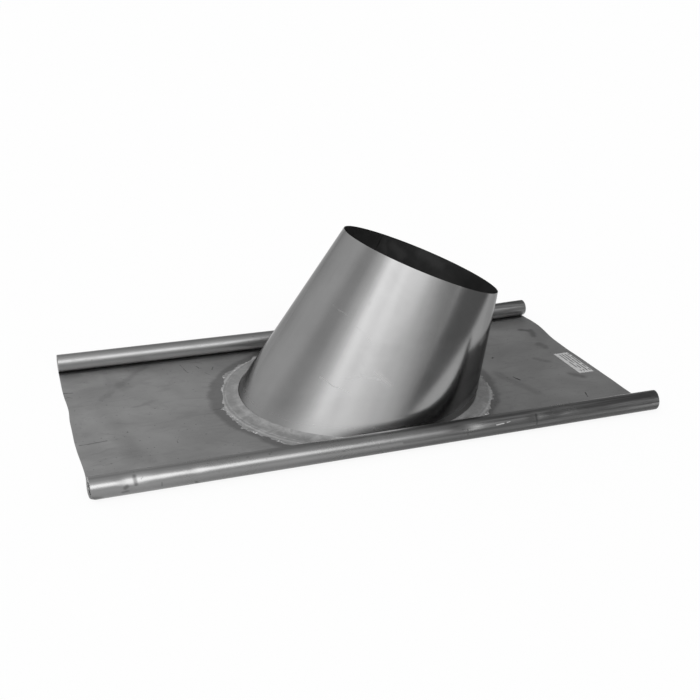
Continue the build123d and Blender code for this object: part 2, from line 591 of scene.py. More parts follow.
@dataclass(frozen=True)
class RolledLead:
    """Lead sheet with a dull skin, glossier on the rolls, stained where it was soldered. The rolls are
    darker, partly as the sheet's other face and partly as painted shade; more painted shade lies to their
    right, low on the front roll, in its dents and along creases of the flat sheet, and a painted
    reflection lightens the back roll low down.
    """

    name: str = "rolled_lead"
    dull: float = 0.27
    bright: float = 0.39
    # a darker grey for the rolls' outer face: partly the sheet's other face, partly painted shade that
    # darkens what they mirror
    outer: float = 0.245
    roughness: float = 0.48
    roll_inside: float = 0.2205
    roll_gloss: float = 0.21
    back_dull: float = 0.07
    stain: float = 0.13
    scratch: float = 0.05
    fleck: float = 0.09
    # painted shade: where along x the rolls darken to the right
    right_shade_run: Band = (-0.10, 0.20)
    # painted shade low on the front roll: where along x it grows, and its depth
    low_front_shade_run: Band = (-0.75, 0.30)
    low_front_shade_depth: float = 0.95
    low_band: Band = (0.021, 0.012)
    flux_band: Band = (0.047, 0.036)
    flux_strength: float = 0.55
    flux_swing: float = 0.03
    # scratches; the ones from (-0.493, -0.071) and (-0.258, -0.008) run along creases of LeadRelief.ridges
    # and are painted shade
    scratches_and_crease_shade: Marks = (
        ((0.321, -0.043, 0.0), (0.327, -0.060, 0.0), 0.0026, 1.0),
        ((0.415, -0.148, 0.0), (0.410, -0.164, 0.0), 0.0022, 0.9),
        ((0.326, 0.050, 0.0), (0.330, 0.054, 0.0), 0.0028, 0.7),
        ((-0.493, -0.071, 0.0), (-0.450, -0.070, 0.0), 0.0024, 0.55),
        ((-0.493, 0.118, 0.0), (-0.484, 0.112, 0.0), 0.0016, 0.5),
        ((-0.235, 0.150, 0.0), (-0.228, 0.141, 0.0), 0.0012, 0.5),
        ((-0.272, 0.201, 0.0), (-0.267, 0.160, 0.0), 0.0014, 0.6),
        ((-0.246, 0.188, 0.0), (-0.240, 0.172, 0.0), 0.0016, 0.7),
        ((-0.214, 0.173, 0.0), (-0.219, 0.160, 0.0), 0.0016, 0.6),
        ((-0.499, 0.136, 0.0), (-0.482, 0.134, 0.0), 0.0018, 0.7),
        ((-0.258, -0.008, 0.0), (-0.240, -0.007, 0.0), 0.0014, 0.6),
        ((-0.255, 0.205, 0.0), (-0.232, 0.196, 0.0), 0.0014, 0.5),
    )
    stains_and_crease_shade: Marks = (
        ((0.452, 0.156, 0.0), (0.464, 0.146, 0.0), 0.010, 0.7),
        ((0.470, 0.148, 0.0), (0.462, 0.122, 0.0), 0.011, 0.6),
        ((0.454, 0.084, 0.0), (0.456, 0.068, 0.0), 0.014, 0.5),
        ((0.438, -0.065, 0.0), (0.452, -0.080, 0.0), 0.013, 0.5),
        ((0.410, 0.020, 0.0), (0.425, 0.000, 0.0), 0.012, 0.35),
        # The next six follow creases and the swell of LeadRelief.ridges: painted shade, not stains.
        ((-0.433, -0.012, 0.0), (-0.421, -0.073, 0.0), 0.022, 0.10),
        ((-0.421, -0.073, 0.0), (-0.424, -0.142, 0.0), 0.022, 0.12),
        ((-0.452, 0.054, 0.0), (-0.433, -0.012, 0.0), 0.022, 0.08),
        ((-0.439, 0.092, 0.0), (-0.380, 0.160, 0.0), 0.012, 0.22),
        ((-0.380, 0.160, 0.0), (-0.336, 0.215, 0.0), 0.012, 0.28),
        ((-0.417, 0.212, 0.0), (-0.414, 0.118, 0.0), 0.010, 0.16),
        ((-0.385, 0.045, 0.0), (-0.350, 0.058, 0.0), 0.009, 0.22),
        ((0.300, 0.190, 0.0), (0.345, 0.120, 0.0), 0.020, 0.20),
        ((0.330, -0.120, 0.0), (0.300, -0.020, 0.0), 0.016, 0.25),
    )
    # painted shade: darker marks in the front roll's dents and at its bent lower-left corner, and darker
    # lines along it
    roll_shade_marks: Marks = (
        ((-0.432, -0.2548, 0.0230), (-0.433, -0.2475, 0.0330), 0.0050, 0.75),
        ((-0.448, -0.2558, 0.0190), (-0.445, -0.2550, 0.0210), 0.0050, 0.6),
        ((-0.452, -0.2548, 0.0120), (-0.444, -0.2550, 0.0130), 0.0035, 0.5),
        ((-0.394, -0.2560, 0.0200), (-0.394, -0.2550, 0.0120), 0.0016, 0.7),
        ((-0.342, -0.2535, 0.0090), (-0.338, -0.2510, 0.0060), 0.0038, 0.8),
        ((-0.497, -0.2530, 0.0080), (-0.486, -0.2510, 0.0060), 0.0090, 0.7),
        ((0.116, -0.2556, 0.0150), (0.117, -0.2520, 0.0270), 0.0016, 0.8),
        ((0.247, -0.2556, 0.0130), (0.248, -0.2490, 0.0315), 0.0036, 1.0),
        ((0.000, -0.2556, 0.0205), (0.480, -0.2556, 0.0210), 0.0032, 0.5),
        ((0.330, -0.2500, 0.0300), (0.480, -0.2480, 0.0325), 0.0045, 0.4),
        ((0.100, -0.2560, 0.0150), (0.300, -0.2560, 0.0140), 0.0015, 0.35),
    )
    roll_scratches: Marks = (
        ((0.279, -0.2505, 0.0298), (0.289, -0.2480, 0.0322), 0.0010, 0.9),
        ((0.283, -0.2492, 0.0310), (0.291, -0.2475, 0.0328), 0.0008, 0.8),
        ((0.302, -0.2480, 0.0322), (0.308, -0.2462, 0.0338), 0.0009, 0.8),
        ((0.170, -0.2540, 0.0255), (0.184, -0.2535, 0.0265), 0.0014, 0.7),
        ((0.190, -0.2530, 0.0270), (0.196, -0.2525, 0.0275), 0.0010, 0.6),
        ((-0.430, -0.2470, 0.0335), (-0.424, -0.2460, 0.0342), 0.0010, 0.4),
    )

    def make(self) -> bpy.types.Material:
        """Builds the material."""
        tree = Finish(self.name, Coordinates.OBJECT)
        x, y, z = tree.parts(tree.places)
        clouds = tree.noise(tree.mapped((6, 9, 9)), 5, 0.6, 0.5)
        cloudy = tree.ramp(clouds, (0.3, 0.0), (0.72, 1.0))
        milling = tree.noise(tree.mapped((2.5, 160, 160)), 3, 0.55)
        smears = tree.noise(tree.mapped((16, 30, 30), turn=(0, 0, 25)), 4, 0.65, 1.5)
        smears = tree.ramp(smears, (0.52, 0.0), (0.68, 1.0))
        outer = tree.math("GREATER_THAN", tree.math("ABSOLUTE", y), self.roll_inside)
        flat = tree.minus(1.0, outer)
        back = tree.math("GREATER_THAN", y, 0.0)
        low = tree.span(z, *self.low_band)
        # painted shade: the front roll's lower face darkens to the right, grey and less metallic, in place
        # of the dark it mirrors
        low_front_shade = tree.times(tree.span(x, *self.low_front_shade_run), self.low_front_shade_depth)
        low_front_shade = tree.times(low_front_shade, tree.times(low, tree.minus(1.0, back)))
        sheet = self.sheet(tree, cloudy, smears, milling)
        shade = tree.mix(outer, sheet, self.rolls(tree, cloudy, tree.times(low, back), low_front_shade))
        shade = tree.mix(tree.times(self.flux(tree), flat), shade, self.stain)
        level_place = tree.vector("MULTIPLY", tree.places, (1, 1, 0)).outputs["Vector"]
        # dark scratches, with painted shade along two creases
        dark = tree.times(tree.strokes(tree.shaken(level_place, 60, 0.003), self.scratches_and_crease_shade), flat)
        stain_and_crease_shade = tree.times(tree.strokes(tree.shaken(level_place, 40, 0.009), self.stains_and_crease_shade), flat)
        specks = tree.ramp(tree.noise(tree.mapped((190, 190, 190)), 1, 0.5), (0.73, 0.0), (0.77, 1.0))
        shade = tree.mix(dark, shade, self.scratch)
        # stains, and painted shade along the creases
        shade = tree.mix(stain_and_crease_shade, shade, self.dull * 0.5)
        shade = tree.mix(tree.times(specks, 0.5), shade, self.fleck)
        return tree.finish(
            Base_Color=shade,
            Metallic=tree.minus(1.0, tree.times(outer, low_front_shade)),
            Roughness=self.gloss(tree, clouds, smears, outer, back),
            Normal=self.bumps(tree, clouds, milling, dark),
            Specular_IOR_Level=0.12,
        )

    def sheet(self, tree: Finish, cloudy: Socket, smears: Socket, milling: Socket) -> Socket:
        """The grey of the flat sheet before its marks.

        Args:
            tree: The material being built.
            cloudy: The broad pattern.
            smears: The wiped patches.
            milling: The fine lines along the sheet.

        Returns:
            Its grey.
        """
        shade = tree.mix(cloudy, self.dull, self.bright)
        shade = tree.mix(tree.times(smears, 0.28), shade, self.dull * 0.8)
        return tree.mix(tree.times(milling, 0.25), shade, self.bright * 1.1)

    def rolls(self, tree: Finish, cloudy: Socket, back_low_painted_sheen: Socket, low_front_shade: Socket) -> Socket:
        """The grey of the rolls, with painted shade to the right (lighter streaks in it), low on the front
        roll and in its dents, a painted reflection low on the back roll, and scratches.

        Args:
            tree: The material being built.
            cloudy: The broad pattern.
            back_low_painted_sheen: Where the back roll is low, made paler as a painted reflection.
            low_front_shade: Where the front roll's lower face is darkened, as painted shade.

        Returns:
            Their grey.
        """
        shade = tree.mix(cloudy, self.outer * 0.94, self.outer * 1.08)
        # painted shade: the rolls darken to the right, where less light reaches them, with lighter streaks
        # in it
        right_shade = tree.span(tree.parts(tree.places)[0], *self.right_shade_run)
        shade = tree.mix(right_shade, shade, self.outer * 0.55)
        streaks = tree.noise(tree.mapped((4, 170, 170), turn=(0, 0, 0.6)), 4, 0.65)
        streaks = tree.ramp(streaks, (0.44, 0.0), (0.58, 1.0))
        shade = tree.mix(tree.times(tree.times(streaks, right_shade), 0.75), shade, self.outer * 1.1)
        # painted reflection: the back roll is paler low down
        shade = tree.mix(tree.times(back_low_painted_sheen, 0.8), shade, self.outer * 1.7)
        # painted shade low on the front roll
        shade = tree.mix(low_front_shade, shade, self.outer * 0.22)
        place = tree.shaken(tree.places, 25, 0.0012)
        # painted shade in the dents, and darker lines along the front roll
        shade = tree.mix(tree.strokes(place, self.roll_shade_marks), shade, self.outer * 0.32)
        return tree.mix(tree.strokes(place, self.roll_scratches), shade, 0.75)

    def gloss(self, tree: Finish, clouds: Socket, smears: Socket, outer: Socket, back: Socket) -> Socket:
        """How rough the skin is, least on the front roll.

        Args:
            tree: The material being built.
            clouds: The broad pattern.
            smears: The wiped patches.
            outer: Where the rolls are.
            back: Where the back half of the apron is.

        Returns:
            The roughness.
        """
        rough = tree.plus(tree.times(clouds, 0.12), self.roughness - 0.05)
        rough = tree.plus(rough, tree.times(smears, 0.06))
        rough = tree.minus(rough, tree.times(outer, self.roll_gloss))
        return tree.plus(rough, tree.times(tree.times(outer, back), self.back_dull))

    def bumps(self, tree: Finish, clouds: Socket, milling: Socket, scratched: Socket) -> Socket:
        """The fine relief of the skin.

        Args:
            tree: The material being built.
            clouds: The broad pattern.
            milling: The fine lines along the sheet.
            scratched: Where the scratches are.

        Returns:
            The bent normal.
        """
        grain = tree.noise(tree.mapped((260, 260, 260)), 3, 0.6)
        relief = tree.bump(milling, 0.00010, 0.5)
        relief = tree.bump(grain, 0.0001, 0.35, relief)
        relief = tree.bump(clouds, 0.0009, 0.3, relief)
        return tree.bump(tree.minus(1.0, scratched), 0.0006, 0.6, relief)

    def flux(self, tree: Finish) -> Socket:
        """The dark stain that the flux left outside the solder, widest on the left.

        Args:
            tree: The material being built.

        Returns:
            How strong the stain is.
        """
        wobble = tree.minus(tree.noise(tree.mapped((14, 14, 14)), 4, 0.6), 0.5)
        left = tree.times(tree.parts(tree.places)[0], -self.flux_swing)
        reach = tree.plus(tree.times(wobble, self.flux_swing), tree.math("MAXIMUM", left, 0.0))
        past = tree.minus(tree.past_foot(tree.places), reach)
        return tree.times(tree.span(past, *self.flux_band), self.flux_strength)


@dataclass(frozen=True)
class WipedSolder:
    """Dull pale solder with a mottled skin, brighter along its thin outer edge."""

    name: str = "wiped_solder"
    edge: float = 0.46
    spark: float = 0.7
    edge_inside: Band = (0.0235, 0.0262)
    edge_outside: Band = (0.0305, 0.0272)
    spark_band: Band = (0.022, 0.028)

    def make(self) -> bpy.types.Material:
        """Builds the material."""
        tree = Finish(self.name, Coordinates.OBJECT)
        mottle = tree.noise(tree.mapped((55, 55, 55)), 5, 0.7, 0.8)
        grain = tree.noise(tree.mapped((420, 420, 420)), 3, 0.6)
        sparks = tree.ramp(tree.noise(tree.mapped((230, 230, 230)), 2, 0.5), (0.62, 0.0), (0.7, 1.0))
        past = tree.past_foot(tree.shaken(tree.places, 30, 0.002))
        edge = tree.times(tree.span(past, *self.edge_inside), tree.span(past, *self.edge_outside))
        shade = tree.ramp(mottle, (0.3, 0.19), (0.5, 0.25), (0.72, 0.33))
        shade = tree.mix(tree.times(edge, 0.5), shade, self.edge)
        shade = tree.mix(tree.times(sparks, tree.span(past, *self.spark_band)), shade, self.spark)
        gloss = tree.ramp(mottle, (0.3, 0.46), (0.75, 0.62))
        relief = tree.bump(mottle, 0.0010, 0.6)
        relief = tree.bump(grain, 0.0002, 0.4, relief)
        return tree.finish(Base_Color=shade, Metallic=0.4, Roughness=gloss, Normal=relief)


@dataclass(frozen=True)
class PrintedFilm:
    """Pale film with rows of plain grey bars, which stand for its print."""

    name: str = "label_film"
    rows: float = 5.0
    paper: float = 0.46
    ink: float = 0.15
    bars_along: float = 8.0
    row_offset: float = 7.3

    def make(self) -> bpy.types.Material:
        """Builds the material."""
        tree = Finish(self.name, Coordinates.SHEET)
        across, along, _ = tree.parts(tree.places)
        line = tree.times(across, self.rows)
        row = tree.math("FLOOR", line)
        in_row = tree.math("ABSOLUTE", tree.minus(tree.math("FRACT", line), 0.5))
        place = tree.nodes.new("ShaderNodeCombineXYZ")
        tree.link(tree.times(along, self.bars_along), place.inputs["X"])
        tree.link(tree.times(row, self.row_offset), place.inputs["Y"])
        bars = tree.ramp(tree.noise(place.outputs["Vector"], 0, 0.5), (0.37, 0.0), (0.40, 1.0))
        margin = tree.times(tree.span(along, 0.06, 0.08), tree.span(along, 0.95, 0.93))
        margin = tree.times(margin, tree.math("GREATER_THAN", across, 0.2))
        strokes = tree.times(tree.times(bars, margin), tree.span(in_row, 0.27, 0.22))
        creases = tree.noise(tree.mapped((6, 14, 1)), 3, 0.6)
        paper = tree.ramp(creases, (0.35, self.paper * 0.94), (0.65, self.paper * 1.05))
        shade = tree.mix(strokes, paper, self.ink)
        relief = tree.bump(creases, 0.0004, 0.4)
        return tree.finish(Base_Color=shade, Metallic=0.0, Roughness=0.42, Normal=relief)


# Forms


@dataclass(frozen=True)
class ConeForm:
    """The cone's outer face, as the CAD has it."""

    axis_foot: Vector = Vector((0.035, 0, 0))
    lean: float = radians(22)
    half_angle: float = radians(12)
    mouth_distance: float = 0.262
    mouth_radius: float = 0.150

    @property
    def axis(self) -> Vector:
        """The direction of the axis, upwards."""
        return Vector((sin(self.lean), 0, cos(self.lean)))

    @property
    def across(self) -> Vector:
        """The direction of azimuth 0, square to the axis."""
        return Vector((cos(self.lean), 0, -sin(self.lean)))

    @property
    def apex_distance(self) -> float:
        """How far up the axis the cone's tip would lie."""
        return self.mouth_distance + self.mouth_radius / tan(self.half_angle)

    def radius(self, distance: float) -> float:
        """The radius at a distance up the axis."""
        return (self.apex_distance - distance) * tan(self.half_angle)

    def outward(self, angle: float) -> Vector:
        """The direction square to the axis at an azimuth."""
        return self.across * cos(angle) + Vector((0, 1, 0)) * sin(angle)

    def point(self, distance: float, angle: float, offset: float = 0.0) -> Vector:
        """A point of the wall.

        Args:
            distance: How far up the axis it lies.
            angle: Its azimuth.
            offset: How far outside the wall it lies.

        Returns:
            Its place.
        """
        reach = self.radius(distance) + offset
        return self.axis_foot + self.axis * distance + self.outward(angle) * reach

    def level(self, height: float, angle: float) -> float:
        """The distance up the axis at which a line of the wall passes a height.

        Args:
            height: The height over the floor.
            angle: The azimuth of the line.

        Returns:
            The distance up the axis.
        """
        slope = tan(self.half_angle) * cos(angle) * sin(self.lean)
        return (height + self.apex_distance * slope) / (cos(self.lean) + slope)


@dataclass(frozen=True)
class FootEllipse:
    """The level ellipse in which the wall meets the flange."""

    centre_x: float = 0.016875
    half_length: float = 0.22284
    half_width: float = 0.20585
    mean_radius: float = 0.215

    def point(self, angle: float, margin: float, height: float) -> Vector:
        """A point round the ellipse.

        Args:
            angle: Its angle round the middle.
            margin: How much the half axes are grown.
            height: Its height over the floor.

        Returns:
            Its place.
        """
        x = self.centre_x + (self.half_length + margin) * cos(angle)
        return Vector((x, (self.half_width + margin) * sin(angle), height))

    def distance(self, x: float, y: float) -> float:
        """Roughly how far outside the ellipse a point lies, in metres."""
        share = hypot((x - self.centre_x) / self.half_length, y / self.half_width)
        return (share - 1) * hypot(x - self.centre_x, y) / max(share, TINY)


@dataclass(frozen=True)
class LeadRelief:
    """How the soft sheet rises off the floor between the solder and its edges."""

    foot: FootEllipse = FootEllipse()
    free_from: float = 0.045
    free_over: float = 0.07
    swell: float = 0.0016
    corner_rise: float = 0.006
    edge_band: Band = (0.19, 0.225)
    corner_along: Band = (0.30, 0.52)
    corner_across: Band = (0.085, 0.17)
    ridges: tuple[tuple[float, float, float, float, float, float], ...] = (
        (-0.439, 0.092, -0.336, 0.200, 0.008, 0.0008),
        (-0.417, 0.205, -0.400, 0.118, 0.010, 0.0008),
        (-0.493, -0.071, -0.440, -0.071, 0.006, 0.0012),
        (-0.452, 0.054, -0.420, -0.140, 0.026, 0.0017),
        (-0.272, -0.009, -0.246, -0.007, 0.006, 0.0030),
        (-0.300, 0.060, -0.330, 0.110, 0.020, 0.0010),
    )

    def rise(self, x: float, y: float) -> float:
        """The rise of the sheet at a place, in metres."""
        share = smooth_step(self.free_from, self.free_from + self.free_over, self.foot.distance(x, y))
        share *= 1 - smooth_step(*self.edge_band, abs(y))
        swell = noise.fractal(Vector((x * 5 + 3, y * 5, 0.4)), 0.6, 2.0, 3)
        height = max(0.0, swell + 0.35) * self.swell
        for x_a, y_a, x_b, y_b, width, tall in self.ridges:
            height += tall * self.ridge(x, y, (x_a, y_a), (x_b, y_b), width)
        corner = smooth_step(*self.corner_along, x) * smooth_step(*self.corner_across, y)
        return height * share + self.corner_rise * corner

    @staticmethod
    def ridge(x: float, y: float, start: Place, end: Place, width: float) -> float:
        """The share of a crease's height at a place.

        Args:
            x: The place along the rolls.
            y: The place across them.
            start: One end of the crease.
            end: Its other end.
            width: Its half width.

        Returns:
            1 on the crease, falling to 0 beside it.
        """
        run = Vector((end[0] - start[0], end[1] - start[1]))
        away = Vector((x - start[0], y - start[1]))
        share = min(1.0, max(0.0, away.dot(run) / run.length_squared))
        gap = (away - run * share).length
        return exp(-((gap / width) ** 2))


# Pieces


@dataclass
class Cone:
    """One sheet of bright steel, rolled to a cone, lapped up the back, with its foot turned out flat."""

    form: ConeForm = field(default_factory=ConeForm)
    foot: FootEllipse = field(default_factory=FootEllipse)
    thickness: float = 0.8 * MM
    seam_azimuth: float = radians(95)
    lap_width: float = 14 * MM
    joggle_width: float = 24 * MM
    flange_width: float = 20 * MM
    flange_top: float = 2.6 * MM
    corner: float = 3 * MM
    rim_drop: float = 0.65 * MM
    wave: float = 0.45 * MM
    bend_steps: int = 5
    columns: int = 300
    rows: int = 70

    def build(self) -> bpy.types.Object:
        """Rolls the blank, turns out the foot and gives the sheet its thickness."""
        Bench.clear()
        bpy.ops.mesh.primitive_grid_add(x_subdivisions=self.columns, y_subdivisions=self.rows, size=1)
        bench = Bench("steel_cone")
        bench.place(lambda _, at: self.rolled(at.x + 0.5, at.y + 0.5))
        self.turn_out(bench)
        bench.align(self.off_axis)
        self.dress(bench.piece)
        bench.thicken(self.thickness, 1, 2)
        bench.smooth(35)
        return bench.piece

    def off_axis(self, at: Vector) -> Vector:
        """The direction from the cone's axis to a place."""
        away = at - self.form.axis_foot
        return away - self.form.axis * away.dot(self.form.axis)

    def rolled(self, share: float, height: float) -> Vector:
        """Where a point of the flat blank goes.

        Args:
            share: Its place round the cone, from the edge under the lap to the one over it.
            height: Its share of the way up the wall.

        Returns:
            Its place on the wall.
        """
        top = self.form.mouth_distance - self.rim_drop
        bottom = self.form.level(self.flange_top, self.seam_azimuth)
        middle = bottom + (top - bottom) * height
        circle = 2 * pi * self.form.radius(middle)
        width = share * (circle + self.lap_width)
        angle = self.seam_azimuth - width / self.form.radius(middle)
        low = self.form.level(self.flange_top, angle)
        start = low + self.corner
        distance = start + (top - start) * height
        depth = self.thickness / cos(self.form.half_angle)
        under = 1 - smooth_step(self.lap_width, self.lap_width + self.joggle_width, width)
        wave = self.waviness(angle, height)
        return self.form.point(distance, angle, wave - depth * 1.05 * under)

    def waviness(self, angle: float, height: float) -> float:
        """How far hand rolling left the wall off its true cone, in metres."""
        swell = noise.fractal(Vector((cos(angle) * 1.3, sin(angle) * 1.3, height * 0.7)), 0.8, 2.0, 2)
        return self.wave * swell * smooth_step(0.0, 0.25, height)

    def turn_out(self, bench: Bench) -> None:
        """Bends the foot out of the wall into the flat flange."""
        count = self.columns + 1
        bench.pick(lambda _: False)
        bench.rest()
        vertices = bench.piece.data.vertices
        starts = [vertices[index].co.copy() for index in range(count)]
        for edge in bench.piece.data.edges:
            edge.select = max(edge.vertices) < count
        for index in range(count):
            vertices[index].select = True
        for step in range(1, self.bend_steps + 2):
            first = bench.extrude()
            vertices = bench.piece.data.vertices
            for index, start in enumerate(starts, first):
                vertices[index].co = self.bent(start, step / self.bend_steps)
        bench.piece.data.update()

    def bent(self, start: Vector, share: float) -> Vector:
        """Where a ring of the bend goes.

        Args:
            start: The wall's lowest point on this line.
            share: How far round the bend it is, with more than 1 for the flange's edge.

        Returns:
            Its place.
        """
        along = (start.x - self.foot.centre_x) / self.foot.half_length
        angle = atan2(start.y / self.foot.half_width, along)
        if share > 1:
            return self.foot.point(angle, self.flange_width, self.flange_top)
        corner = self.foot.point(angle, 0, self.flange_top)
        end = self.foot.point(angle, self.corner, self.flange_top)
        return start * (1 - share) ** 2 + corner * 2 * share * (1 - share) + end * share**2

    def dress(self, piece: bpy.types.Object) -> None:
        """Gives the piece its finishes and its place in the frame."""
        bright = BrightSteel().make()
        # the inner face gets the painted shade of the dark inside
        for material in (bright, InsidePaintedShade().make(), bright):
            piece.data.materials.append(material)
        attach(piece, "root")
        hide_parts("cone")


@dataclass
class LeadApron:
    """One sheet of lead with a hole for the flue and both long sides rolled up."""

    foot: FootEllipse = field(default_factory=FootEllipse)
    relief: LeadRelief = field(default_factory=LeadRelief)
    length: float = 1.0
    thickness: float = LEAD_THICKNESS
    lift: float = 0.02 * MM
    roll_y: float = 237.85 * MM
    roll_diameter: float = 35.36 * MM
    turn_gap: float = 0.7 * MM
    half_turns: int = 6
    columns: int = 200
    rows: int = 95
    steps: tuple[int, ...] = (12, 12, 8, 8, 8, 8)
    left_cut: Levels = (
        (-1.0, 0.0022), (-0.86, 0.0005), (-0.65, 0.0035), (-0.24, 0.0), (0.06, 0.0012), (0.28, 0.004),
        (0.55, 0.002), (1.0, 0.004),
    )
    right_cut: Levels = (
        (-1.0, 0.002), (-0.9, 0.0), (-0.66, 0.0035), (-0.28, 0.0015), (0.1, 0.0035), (0.4, 0.003),
        (0.68, 0.0005), (1.0, 0.0025),
    )
    hole_margin: float = 3 * MM
    bent_corner: float = 8 * MM
    bent_heights: Band = (1 * MM, 17 * MM)
    dent_height: float = 30 * MM
    dents: tuple[tuple[float, float, float, float, float], ...] = (
        (-0.432, -0.255, 0.018, 0.009, 0.0022),
        (-0.448, -0.255, 0.010, 0.006, 0.0016),
        (-0.394, -0.255, 0.012, 0.005, 0.0012),
        (-0.340, -0.255, 0.012, 0.006, 0.0014),
        (0.116, -0.252, 0.024, 0.008, 0.0026),
        (0.247, -0.255, 0.014, 0.008, 0.0016),
        (0.295, -0.252, 0.024, 0.010, 0.0012),
    )

    def build(self) -> bpy.types.Object:
        """Cuts the hole, rolls up the sides, wrinkles the sheet and gives it its thickness."""
        Bench.clear()
        bpy.ops.mesh.primitive_grid_add(
            x_subdivisions=self.columns,
            y_subdivisions=self.rows,
            size=1,
            location=(0, 0, self.thickness + self.lift),
        )
        bpy.ops.transform.resize(value=(self.length, 2 * self.roll_y, 1))
        bpy.ops.object.transform_apply(location=True, rotation=True, scale=True)
        bench = Bench("lead_apron_sheet")
        self.cut_hole(bench)
        flat_count = bench.count()
        turns = [self.roll_up(bench, side) for side in (Side.BACK, Side.FRONT)]
        log.info("apron: %d vertices flat, %s in the rolls", flat_count, turns)
        self.face_inwards(bench)
        bench.place(lambda _, at: self.shaped(at))
        bench.thicken(self.thickness)
        bench.smooth(40)
        self.dress(bench.piece)
        return bench.piece

    def cut_hole(self, bench: Bench) -> None:
        """Cuts the hole for the flue and draws its edge to a true ellipse."""
        half_length = self.foot.half_length + self.hole_margin
        half_width = self.foot.half_width + self.hole_margin
        bench.rest()
        bench.edit("FACE")
        bpy.ops.mesh.select_all(action="DESELECT")
        bench.rest()
        for face in bench.piece.data.polygons:
            share = hypot((face.center.x - self.foot.centre_x) / half_length, face.center.y / half_width)
            face.select = share < 1
        bench.edit("FACE")
        bpy.ops.mesh.delete(type="FACE")
        bench.rest()
        used: dict[tuple[int, int], int] = {}
        for face in bench.piece.data.polygons:
            for key in face.edge_keys:
                used[key] = used.get(key, 0) + 1
        edge = {index for key, count in used.items() if count == 1 for index in key}
        for index in edge:
            vertex = bench.piece.data.vertices[index]
            x, y = vertex.co.x - self.foot.centre_x, vertex.co.y
            share = hypot(x / half_length, y / half_width)
            if abs(y) < self.roll_y - MM and abs(vertex.co.x) < self.length / 2 - MM:
                vertex.co.x, vertex.co.y = self.foot.centre_x + x / share, y / share

    def roll_up(self, bench: Bench, side: Side) -> int:
        """Rolls one long side inwards, half a turn at a time.

        Args:
            bench: The mesh in work.
            side: The side to roll.

        Returns:
            The number of vertices that this made.
        """
        before = bench.count()
        sign = side.value
        bench.pick(lambda at: abs(at.y - sign * self.roll_y) < TINY)
        pitch = self.thickness + self.turn_gap
        for turn in range(self.half_turns):
            radius = (self.roll_diameter - turn * pitch) / 2
            centre_z = (turn + 1) // 2 * pitch + radius + self.lift
            bench.edit("EDGE")
            bpy.ops.mesh.spin(
                steps=self.steps[turn],
                angle=-sign * pi,
                center=(0, sign * self.roll_y, centre_z),
                axis=(1, 0, 0),
            )
        return bench.count() - before

    def face_inwards(self, bench: Bench) -> None:
        """Turns every face to the sheet's upper side, which is up in the flat and inwards in the rolls."""
        bench.edit("FACE")
        bpy.ops.mesh.select_all(action="DESELECT")
        bench.rest()
        for face in bench.piece.data.polygons:
            middle = face.center
            towards = Vector((0, 0, 1))
            if middle.z > self.thickness + 1.5 * self.lift:
                side = self.roll_y if middle.y > 0 else -self.roll_y
                towards = Vector((0, side - middle.y, self.roll_diameter / 2 - middle.z))
            face.select = face.normal.dot(towards) < 0
        bench.edit("FACE")
        bpy.ops.mesh.flip_normals()
        bench.rest()

    def shaped(self, at: Vector) -> Vector:
        """Where hand work left a point of the true form.

        Args:
            at: A point of the sheet's upper face.

        Returns:
            Its place on the real sheet.
        """
        x, y, z = at
        share = max(-1.0, min(1.0, y / (self.roll_y + self.roll_diameter / 2)))
        left = -self.length / 2 + between(self.left_cut, share)
        right = self.length / 2 - between(self.right_cut, share)
        low = 1 - smooth_step(*self.bent_heights, z)
        left += self.bent_corner * low * smooth_step(self.roll_y - 2 * MM, self.roll_y + 8 * MM, -y)
        along = (x + self.length / 2) / self.length
        x = left + (right - left) * along
        return Vector((x, y, z + self.relief.rise(x, y))) + self.dented(x, y, z)

    def dented(self, x: float, y: float, z: float) -> Vector:
        """How far the dents in the front roll push a point inwards."""
        total = Vector()
        if y > -self.roll_y + self.roll_diameter:
            return total
        inwards = (Vector((0, -self.roll_y, self.roll_diameter / 2)) - Vector((0, y, z))).normalized()
        for dent_x, dent_y, width, tall, depth in self.dents:
            if abs(x - dent_x) < 3 * width:
                reach = hypot(y - dent_y, z - self.dent_height)
                total += inwards * depth * exp(-(((x - dent_x) / width) ** 2) - (reach / tall) ** 2)
        return total

    def dress(self, piece: bpy.types.Object) -> None:
        """Gives the piece its finish and its place in the frame."""
        piece.data.materials.append(RolledLead().make())
        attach(piece, "root")
        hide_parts("lead_apron")


